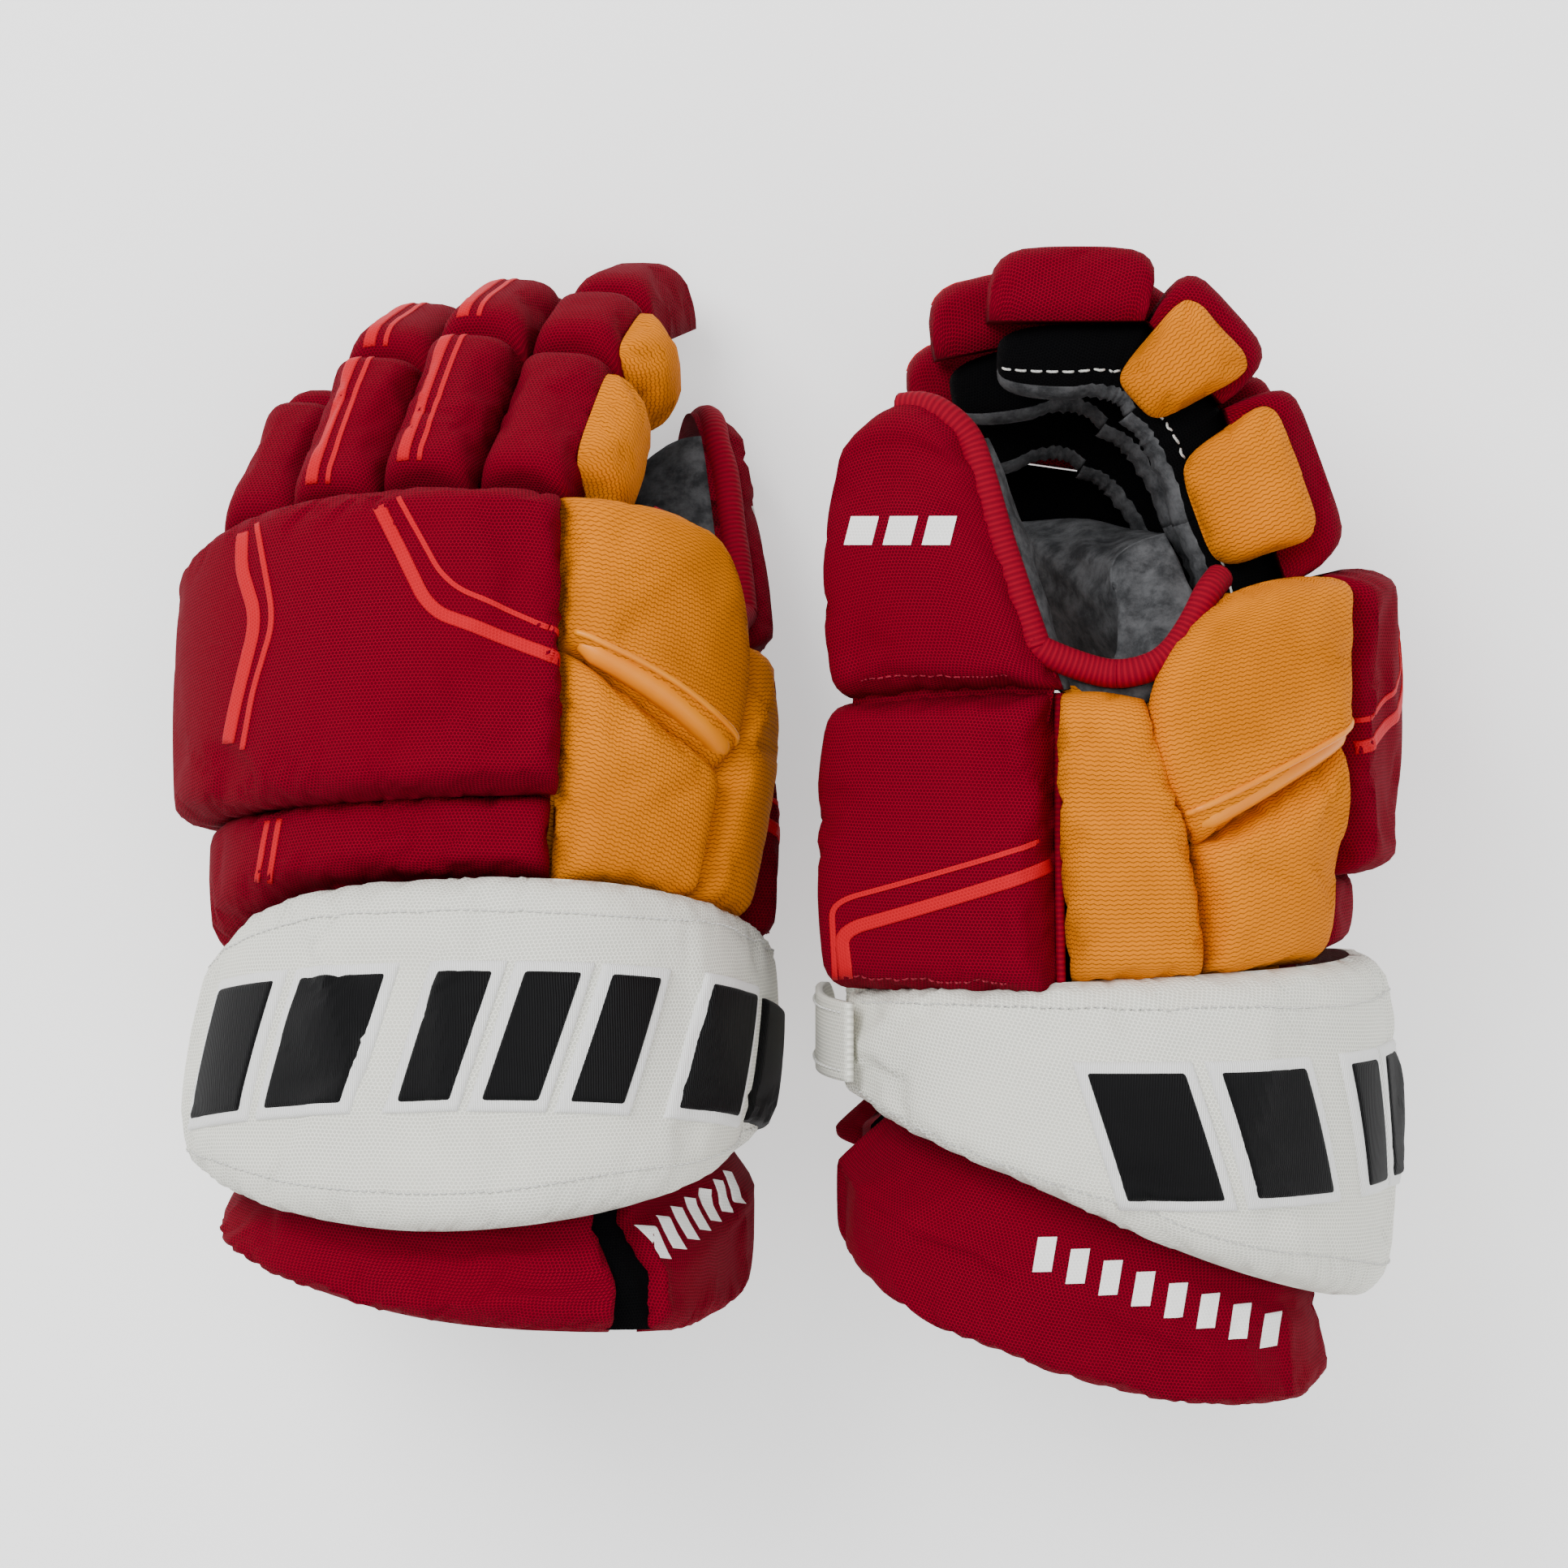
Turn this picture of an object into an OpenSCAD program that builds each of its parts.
// A pair of padded ice hockey gloves lying on a table: the left one palm down, the right one on
// its little-finger side with the thumb up. Millimetres, +Z up, fingers towards +Y, origin under
// the middle of the pair.
//
// Each glove is designed once, in the hand frame of a left glove: +X to the thumb side, +Y to the
// fingertips, +Z out of the back of the hand, origin at the middle of the wrist. Pads are patches
// of a rounded section around the Y axis. An angle of 0 points out of the back, +90 to the thumb.

/* [Pose of the pair] */
// Place of the left wrist: across, along and above the table
left_place = [-84.0, -19.9, 81.4]; // [-120:0.1:120]
// Place of the right wrist: across, along and above the table
right_place = [90.0, -29.7, 77.32]; // [-120:0.1:120]
// How far the left glove leans on its thumb, in degrees
left_roll = 15; // [0:1:25]
// How far the left fingertips drop, in degrees
left_pitch = 9.5; // [0:0.5:15]
// How far the right fingertips rise, in degrees
right_tilt = 2.7; // [0:0.1:5]
// How far each thumb is pressed in towards the palm: left and right
thumb_bend = [6, 0]; // [0:1:10]
// Rest curl of the left fingers, index to little: knuckle, middle and end joint
left_curl = [[36, 15, 18], [33, 28, 58], [31, 31, 70], [36, 55, 0]]; // [0:1:60]
// Rest curl of the right fingers, index to little
right_curl = [[20, 22, 48], [26, 30, 45], [31, 32, 45], [36, 46, 0]]; // [0:1:60]

/* [Hand] */
// Half depth of the section that the hand pads lie on
pad_base = 61; // [58:0.5:64]
// How much wider than deep that section is, each side
pad_wide = 7; // [0:0.5:8]
// Thickness of the backhand pad
backhand_thick = 13; // [12:0.5:17]
// Thickness of the yellow side pads
side_thick = 12; // [10:0.5:16]
// Thickness of the wrist pad
wrist_thick = 11; // [8:0.5:14]
// Thickness of the thumb pads
thumb_thick = 13; // [10:0.5:16]
// How much further the thumb pads reach to the palm side than the hand section does
thumb_reach = 18; // [10:0.5:20]

/* [Fingers] */
// Knuckle of each finger: across, along and out of the back
knuckles = [[28, 94, 42.5], [1.4, 95.5, 44], [-25.2, 92, 41], [-50.5, 89, 29.5]]; // [-60:0.1:100]
// Length of each finger's sections; the little finger has two
sections = [[51, 30, 40], [54, 34, 41], [52, 32, 40], [44, 48]]; // [25:1:60]
// Width of each finger
finger_wide = [25.6, 25.6, 25.6, 23]; // [20:0.1:26]
// Thickness of the finger pads
finger_thick = 19; // [14:0.5:20]
// Depth of the finger stalls under the pads
stall_deep = 22; // [18:0.5:26]

/* [Cuff] */
// Thickness of the white cuff roll
roll_thick = 9.5; // [8:0.5:12]
// Thickness of the red cuff panels
cuff_thick = 8; // [6:0.5:10]
// Thickness of the linings, the palm and the strap
cloth = 2.4; // [1.6:0.1:3]

/* [Hidden] */
$fn = 32;
FINGERS = ["index", "middle", "ring", "little"];
PIECES = [
    "backhand_pad", "backhand_insert", "wrist_pad", "side_pad_upper", "side_pad_lower",
    "side_pad_rear", "hand_lining", "palm", "thumb_base_pad", "thumb_pad", "thumb_lining",
    "thumb_insert", "cuff_roll", "cuff_back_panel", "cuff_side_panel", "cuff_lining", "cuff_strap",
    "index_side_lower", "index_side_upper",
    "index_proximal", "index_middle", "index_tip",
    "middle_proximal", "middle_middle", "middle_tip",
    "ring_proximal", "ring_middle", "ring_tip",
    "little_proximal", "little_tip"
];

// Where a pad is sampled across and along, and how much of its thickness it has there
RIM = [0, 0.04, 0.14, 0.32, 0.5, 0.68, 0.86, 0.96, 1];
FILL = [0.6, 0.9, 1, 1, 1, 1, 1, 0.9, 0.6];
LONG_RIM = concat([0, 0.02, 0.07], [for (i = [1 : 9]) mix(0.07, 0.93, i / 10)], [0.93, 0.98, 1]);
LONG_FILL = concat([0.6, 0.9, 1], [for (i = [1 : 9]) 1], [1, 0.9, 0.6]);
// The same for a sheet, which is as thick at its edges as in its middle
EVEN = [for (i = [0 : 10]) i / 10];
EVEN_ROUND = [for (i = [0 : 20]) i / 20];
ENDS = [0, 0.33, 0.67, 1];

// Sections: centre x, centre z, half width and half depth
PAD_SECTION = [0, 0, pad_base + pad_wide, pad_base];
WRIST_SECTION = [0, 0, pad_base - 1, pad_base - 10];
LINING_LOW = [0, 2, 45, 38];
LINING_HIGH = [-2, 29, 52, 23];
THUMB_LOW = [39, -39, 15.5, 12.3];
THUMB_HIGH = [43, -44, 11.5, 10];
ROLL_LOW = [1, -4, 65.5, 66];
ROLL_HIGH = [5, -3, 62, 65];
CUFF_UNDER_ROLL = [1, -4, 50, 49.5];
CUFF_OPEN = [-3, -10.5, 63, 59];
roll_square = 2.5;
cuff_square = 3.2;
hand_square = 2.15;

pad_gap = 13;       // the angle by which neighbouring finger pads stand open
knuckle_clear = 10; // how far the finger pads start past the knuckle line
thumb_from = 105;   // the angle where the thumb's extra reach begins
panel_seams = [50, 14]; // the angle of the gap between the cuff's two panels: left and right
roll_end = 160;     // the angle where the cuff roll ends, either side of the palm

function mix(a, b, t) = a + (b - a) * t;
function limit(t) = min(1, max(0, t));
function squareness(a, n) = pow(pow(abs(sin(a)), n) + pow(abs(cos(a)), n), -1 / n);
function swell(a) = a > thumb_from ? thumb_reach * pow((a - thumb_from) / 50, 2) : 0;
function grow(section, d) = section + [0, 0, d, d];

// The edges of the cuff: where the roll begins and ends and where the panels end
function dip(a) = exp(-pow((a + 78) / 30, 2));  // where the little-finger side is pinched in
function roll_top(a) = -10.5 + 4 * cos(a - 20) - 10 * dip(a);
function roll_bottom(a) = -66 - 30 * cos(a - 10);
function cuff_bottom(a) = -90 - 31 * cos(a - 40) - 6 * pow(sin(a - 40), 2);

// An outline is [A, B, C, D, AB, BC, CD, DA], each [angle, y]: the four corners, A and D at the
// start angle, A and B at the wrist end, and a point half way along each edge.
function quad(A, B, C, D) = [A, B, C, D, (A + B) / 2, (B + C) / 2, (C + D) / 2, (D + A) / 2];
function inside(o, s, t) =
    let (x = 2 * s - 1, y = 2 * t - 1)
    o[0] * (1 - x) * (1 - y) * (-x - y - 1) / 4 + o[1] * (1 + x) * (1 - y) * (x - y - 1) / 4
    + o[2] * (1 + x) * (1 + y) * (x + y - 1) / 4 + o[3] * (1 - x) * (1 + y) * (y - x - 1) / 4
    + o[4] * (1 - x * x) * (1 - y) / 2 + o[5] * (1 + x) * (1 - y * y) / 2
    + o[6] * (1 - x * x) * (1 + y) / 2 + o[7] * (1 - x) * (1 - y * y) / 2;
// A band of the cuff instead: [start angle, end angle, low edge, high edge]
function outline(o, s, t) =
    len(o) == 8 ? inside(o, s, t)
                : let (a = mix(o[0], o[1], s)) [a, mix(o[2](a), o[3](a), t)];

function on_section(c, a, y, out, n) =
    let (k = squareness(a, n))
    [c[0] + (c[2] * k + out) * sin(a), y, c[1] + (c[3] * k + out) * cos(a)];

// The triangles of a closed shell over an na by nl grid of points, outer side first
function shell(na, nl) =
    let (count = na * nl,
         rim = concat([for (i = [0 : na - 2]) i * nl], [for (j = [0 : nl - 2]) (na - 1) * nl + j],
                      [for (i = [na - 1 : -1 : 1]) i * nl + nl - 1],
                      [for (j = [nl - 1 : -1 : 1]) j]))
    concat([for (i = [0 : na - 2]) for (j = [0 : nl - 2])
                let (p = i * nl + j) each [[p, p + 1, p + nl + 1], [p, p + nl + 1, p + nl]]],
           [for (i = [0 : na - 2]) for (j = [0 : nl - 2])
                let (p = count + i * nl + j) each [[p, p + nl + 1, p + 1], [p, p + nl, p + nl + 1]]],
           [for (k = [0 : len(rim) - 1])
                let (a = rim[k], b = rim[(k + 1) % len(rim)])
                each [[a, b, b + count], [a, b + count, a + count]]]);

// A closed patch of the section that runs from `low` at ys[0] to `high` at ys[1], `thick` thick
// and hollow behind. `flat` from 0 to 1 pulls it towards a flat panel, `crown` lifts its middle,
// `thumb` adds the thumb's reach, and `from_roll` counts ys from the roll's lower edge.
module patch(o, low, high, thick, ys = [-9, 40], n = hand_square, flat = 0, crown = 0,
             across = RIM, across_fill = FILL, along = RIM, along_fill = FILL, thumb = false,
             from_roll = false) {
    function at(i, j, outer) =
        let (s = across[i], t = along[j], p = outline(o, s, t),
             from = outline(o, 0, t)[0], to = outline(o, 1, t)[0],
             height = p[1] - (from_roll ? roll_bottom(p[0]) : 0),
             c = mix(low, high, limit((height - ys[0]) / (ys[1] - ys[0]))),
             chord = cos((to - from) / 2) / cos(p[0] - (from + to) / 2) - 1,
             base = (flat > 0 ? flat * c[2] * chord : 0) + (thumb ? swell(p[0]) : 0),
             lift = thick * across_fill[i] * along_fill[j] + crown * 16 * s * (1 - s) * t * (1 - t))
        on_section(c, p[0], p[1], base + (outer ? lift : 0), n);
    points = [for (outer = [true, false]) for (i = [0 : len(across) - 1])
                  for (j = [0 : len(along) - 1]) at(i, j, outer)];
    faces = shell(len(across), len(along));
    // An outline that runs to smaller angles has its triangles turned round
    turned = outline(o, 0, 0.5)[0] > outline(o, 1, 0.5)[0];
    polyhedron(points, turned ? [for (f = faces) [f[2], f[1], f[0]]] : faces);
}

// A patch of even thickness
module sheet(o, low, high, thick, ys = [-9, 40], n = hand_square, across = EVEN, along = ENDS,
             flat = 0, thumb = false, from_roll = false) {
    patch(o, low, high, thick, ys, n, flat, 0, across, [for (i = across) 1], along,
          [for (i = along) 1], thumb, from_roll);
}

/* Hand */
module backhand_pad() {
    color("firebrick")
        patch([[-82, 20], [33, 19], [33, 96.5], [-82, 83], [-24, 17.5], [33, 58], [-24, 96.5], [-82, 53]],
              PAD_SECTION, PAD_SECTION, backhand_thick, crown = 2, across = LONG_RIM,
              across_fill = LONG_FILL);
}

// Stiff plate behind the backhand pad's foam
module backhand_insert() {
    color("whitesmoke")
        sheet(quad([-60, 27], [22, 28], [22, 90], [-60, 82]), grow(PAD_SECTION, -2),
              grow(PAD_SECTION, -2), 1.6);
}

module wrist_pad() {
    color("firebrick")
        patch([[-80, -16], [33, -2.5], [33, 17.5], [-80, 18], [-26, -3], [33, 8], [-24, 17.5], [-80, 4]],
              WRIST_SECTION,
              grow(WRIST_SECTION, 1), wrist_thick, crown = 1, across = LONG_RIM,
              across_fill = LONG_FILL);
}

module side_pad_upper() {
    color("orange")
        patch([[74.5, 29], [34.5, 58], [34.5, 96], [67, 92.5], [55, 42], [34.5, 77], [52, 95.5], [85, 64]],
              PAD_SECTION, PAD_SECTION, side_thick, flat = 0.4, crown = 3);
}

module side_pad_lower() {
    color("orange")
        patch([[70.5, -4.5], [34.5, -3], [34.5, 55.5], [76, 26.5], [52, -3.5], [34.5, 25], [55, 39.5],
               [72, 10]], grow(WRIST_SECTION, 1), PAD_SECTION, side_thick, flat = 0.4, crown = 3);
}

module side_pad_rear() {
    color("orange")
        patch([[106, -6.5], [72.5, -4.5], [89, 64], [107, 66], [87, -5.5], [78, 27], [98, 66], [107, 27]],
              grow(WRIST_SECTION, 2), PAD_SECTION, side_thick, flat = 0.4, crown = 3);
}

// The hand compartment: the lining over the back and sides, and the palm below it
module hand_lining() {
    color("dimgray")
        sheet(quad([-128, -9], [92, -9], [92, 76], [-128, 58]), LINING_LOW, LINING_HIGH, cloth,
              ys = [-9, 76], n = 2.4, across = EVEN_ROUND);
}

module palm() {
    color("gray")
        sheet(quad([128.5, -9], [231.5, -9], [231.5, 58], [128.5, 76]), LINING_LOW, LINING_HIGH,
              cloth, ys = [-9, 76], n = 2.4);
}

/* Thumb */
thumb_hinge = [50, 67.5, -52];
thumb_axis = [0.48, 0, 0.877];

// Turns the thumb's pieces about the seam between its two pads
module bent_thumb(side) {
    translate(thumb_hinge)
        rotate(a = side == "left" ? thumb_bend[0] : thumb_bend[1], v = thumb_axis)
            translate(-thumb_hinge) children();
}

module thumb_base_pad() {
    color("firebrick")
        patch([[155, -10], [109, -8], [110, 65.5], [154, 62], [130, -9], [110, 28], [130, 65],
               [157, 28]], PAD_SECTION, PAD_SECTION, thumb_thick, flat = 0.35, crown = 2,
              thumb = true);
}

module thumb_pad() {
    color("firebrick")
        patch([[153, 66], [107, 69.5], [126, 132], [149, 130], [130, 69], [117, 98], [138, 142],
               [154.5, 98]], PAD_SECTION, PAD_SECTION, thumb_thick, flat = 0.3,
              crown = 2, thumb = true, ys = [66, 140]);
}

module thumb_lining() {
    color("gray")
        sheet(quad([175, 70], [425, 70], [425, 122], [175, 126]), THUMB_LOW, THUMB_HIGH, cloth,
              ys = [70, 124], n = 2, across = EVEN_ROUND);
}

// Stiff plate that keeps the thumb from bending backwards
module thumb_insert() {
    color("whitesmoke")
        sheet(quad([146, 76], [117, 76], [127, 124], [145, 124]), grow(PAD_SECTION, -2.5),
              grow(PAD_SECTION, -2.5), 1.2, flat = 0.3, thumb = true);
}

/* Cuff */
function wrist_edge(a) = -16 - 10 * dip(a);
ROLL_RIM = concat([0, 0.015], [for (i = [1 : 23]) i / 24], [0.985, 1]);

module cuff_roll() {
    color("white")
        patch([-roll_end, roll_end, function (a) roll_bottom(a), function (a) roll_top(a)],
              ROLL_LOW, ROLL_HIGH, roll_thick, ys = [-60, -12], n = roll_square, crown = 3,
              across = ROLL_RIM,
              across_fill = [for (i = [0 : 26]) min(1, 0.5 + 0.4 * min(i, 26 - i))]);
}

function panel_seam(side) = side == "left" ? panel_seams[0] : panel_seams[1];

module cuff_back_panel(side) {
    color("firebrick")
        patch([-roll_end, panel_seam(side) - 4, function (a) cuff_bottom(a), function (a) wrist_edge(a)],
              CUFF_OPEN, CUFF_UNDER_ROLL, cuff_thick, ys = [-19, -4], n = cuff_square,
              across = LONG_RIM, across_fill = LONG_FILL, from_roll = true);
}

module cuff_side_panel(side) {
    color("firebrick")
        patch([panel_seam(side) + 4, roll_end, function (a) cuff_bottom(a), function (a) wrist_edge(a)],
              CUFF_OPEN, CUFF_UNDER_ROLL, cuff_thick, ys = [-19, -4], n = cuff_square,
              across = LONG_RIM, across_fill = LONG_FILL, from_roll = true);
}

// Black knit lining of the cuff, which shows in the gap between the two panels
module cuff_lining() {
    color("black")
        sheet([-roll_end - 4, roll_end + 4, function (a) cuff_bottom(a) + 4,
               function (a) wrist_edge(a)], grow(CUFF_OPEN, -4.4), grow(CUFF_UNDER_ROLL, -4.4),
              cloth, ys = [-19, -4], n = cuff_square, across = [for (i = [0 : 36]) i / 36],
              along = RIM, from_roll = true);
}

module cuff_strap() {
    color("white")
        sheet(quad([roll_end - 12, -36], [205, -36], [205, -15], [roll_end - 12, -15]),
              grow(ROLL_HIGH, roll_thick + 2.5), grow(ROLL_HIGH, roll_thick + 2.5), cloth,
              n = roll_square);
}

/* Fingers */
// How far each glove's fingers lean to the thumb side
finger_lean = [5, 0];
function lean(side) = side == "left" ? finger_lean[0] : finger_lean[1];
function curls(side) = side == "left" ? left_curl : right_curl;

// Places the frame of a finger's section: +Y along it, +Z out of its back, at its rear hinge
module in_section(side, f, section) {
    curl = curls(side)[f];
    translate(knuckles[f]) rotate([0, 0, -lean(side)])
        rotate([-curl[0], 0, 0])
            if (section == 0) children();
            else translate([0, sections[f][0], 0])
                rotate([-curl[1], 0, 0])
                    if (section == 1) children();
                    else translate([0, sections[f][1], 0]) rotate([-curl[2], 0, 0]) children();
}

// Extrudes a profile drawn in Y and Z across a width centred on X
module across_x(width) {
    rotate([90, 0, 90]) translate([0, 0, -width / 2]) linear_extrude(width) children();
}

// Extrudes a profile drawn in X and Z along +Y from the hinge
module along_y(from, to) {
    translate([0, to, 0]) rotate([90, 0, 0]) linear_extrude(to - from) children();
}

// A finger's back pad. `rear` and `front` are how far its outer edges lean out past its ends.
module finger_pad(length, width, rear, front, tip) {
    t = finger_thick;
    half = width / 2;
    end = tip ? [[length + 2, 0.3], [length + 2.5, 7], [length - 1, 14], [length - 8, t]]
              : [[length - 0.6, 0.3], [length + front - 0.5, t - 4], [length + front - 4, t]];
    intersection() {
        across_x(width) polygon(concat(end, [[4 - rear, t], [0.5 - rear, t - 4], [0.6, 0.3]]));
        along_y(-20, length + 20)
            polygon([[-half, 0], [half, 0], [half, t - 6], [half - 2, t - 2], [half - 6, t],
                     [6 - half, t], [2 - half, t - 2], [-half, t - 6]]);
    }
}

// A finger's stall: a channel under the pad, cut back at the palm side so that the finger bends
module finger_stall(length, width, rear_cut, front_cut, tip) {
    outer = width - 2;
    rear_lean = tan(rear_cut);
    front_lean = tip ? 0 : tan(front_cut);
    deep = min(stall_deep - (tip ? 4 : 0), (length - 5) / (rear_lean + front_lean + 0.001));
    front = length - 1;
    difference() {
        across_x(outer)
            polygon([[1, 0], [1 + deep * rear_lean, -deep], [front - deep * front_lean, -deep],
                     [front, 0]]);
        along_y(-1, tip ? length - 1 - cloth : length + 1)
            square([outer - 2 * cloth, 2 * (deep - cloth)], center = true);
    }
}

module finger_section(side, f, section) {
    curl = curls(side)[f];
    length = sections[f][section];
    tip = section == len(sections[f]) - 1;
    rear = section == 0 ? (finger_thick * sin(curl[0]) - knuckle_clear) / cos(curl[0])
                        : finger_thick * tan((curl[section] - pad_gap) / 2);
    front = tip ? 0 : finger_thick * tan((curl[section + 1] - pad_gap) / 2);
    // half of each hinge's curl at the end of its range
    rear_bend = section == 0 ? 30 : (curl[section] + (section == 1 ? 32 : 20)) / 2;
    front_bend = tip ? 0 : (curl[section + 1] + (section == 0 ? 32 : 20)) / 2;
    in_section(side, f, section) {
        color("firebrick") finger_pad(length, finger_wide[f], rear, front, tip);
        color("black") finger_stall(length, finger_wide[f], rear_bend, front_bend, tip);
    }
}

// Yellow pad on the thumb side of the index finger's section, cut back at the palm side
module index_side_pad(side, section) {
    length = sections[0][section];
    rear = section == 0 ? 10 : 1.5;
    front = length - (section == 0 ? 1.5 : 1);
    low = -11;
    high = 12;
    deep = 7;
    edge = 2.5;
    in_section(side, 0, section)
        color("orange") translate([finger_wide[0] / 2 + 0.4, 0, 0]) intersection() {
            along_y(0, length)
                polygon([[0, low], [deep - edge, low], [deep, low + edge], [deep, high - edge],
                         [deep - edge, high], [0, high]]);
            translate([deep / 2, 0, 0]) across_x(deep)
                polygon([[rear, high], [rear + (section == 0 ? 1 : 7), low],
                         [front - (section == 0 ? 8 : 4), low], [front, high]]);
        }
}

/* Assembly */
module in_place(side) {
    if (side == "left")
        translate(left_place) rotate([-left_pitch, 0, 0]) rotate([0, -left_roll, 0]) children();
    else
        translate(right_place) rotate([right_tilt, 0, 0]) rotate([0, 90, 0]) mirror([1, 0, 0])
            children();
}

module piece(side, name) {
    if (name == "backhand_pad") backhand_pad();
    if (name == "backhand_insert") backhand_insert();
    if (name == "wrist_pad") wrist_pad();
    if (name == "side_pad_upper") side_pad_upper();
    if (name == "side_pad_lower") side_pad_lower();
    if (name == "side_pad_rear") side_pad_rear();
    if (name == "hand_lining") hand_lining();
    if (name == "palm") palm();
    if (name == "thumb_base_pad") thumb_base_pad();
    bent_thumb(side) {
        if (name == "thumb_pad") thumb_pad();
        if (name == "thumb_lining") thumb_lining();
        if (name == "thumb_insert") thumb_insert();
    }
    if (name == "cuff_roll") cuff_roll();
    if (name == "cuff_back_panel") cuff_back_panel(side);
    if (name == "cuff_side_panel") cuff_side_panel(side);
    if (name == "cuff_lining") cuff_lining();
    if (name == "cuff_strap") cuff_strap();
    if (name == "index_side_lower") index_side_pad(side, 0);
    if (name == "index_side_upper") index_side_pad(side, 1);
    for (f = [0 : 3]) {
        last = len(sections[f]) - 1;
        if (name == str(FINGERS[f], "_proximal")) finger_section(side, f, 0);
        if (name == str(FINGERS[f], "_middle") && last == 2) finger_section(side, f, 1);
        if (name == str(FINGERS[f], "_tip")) finger_section(side, f, last);
    }
}

for (side = ["left", "right"])
    for (name = PIECES)
        in_place(side) piece(side, name);
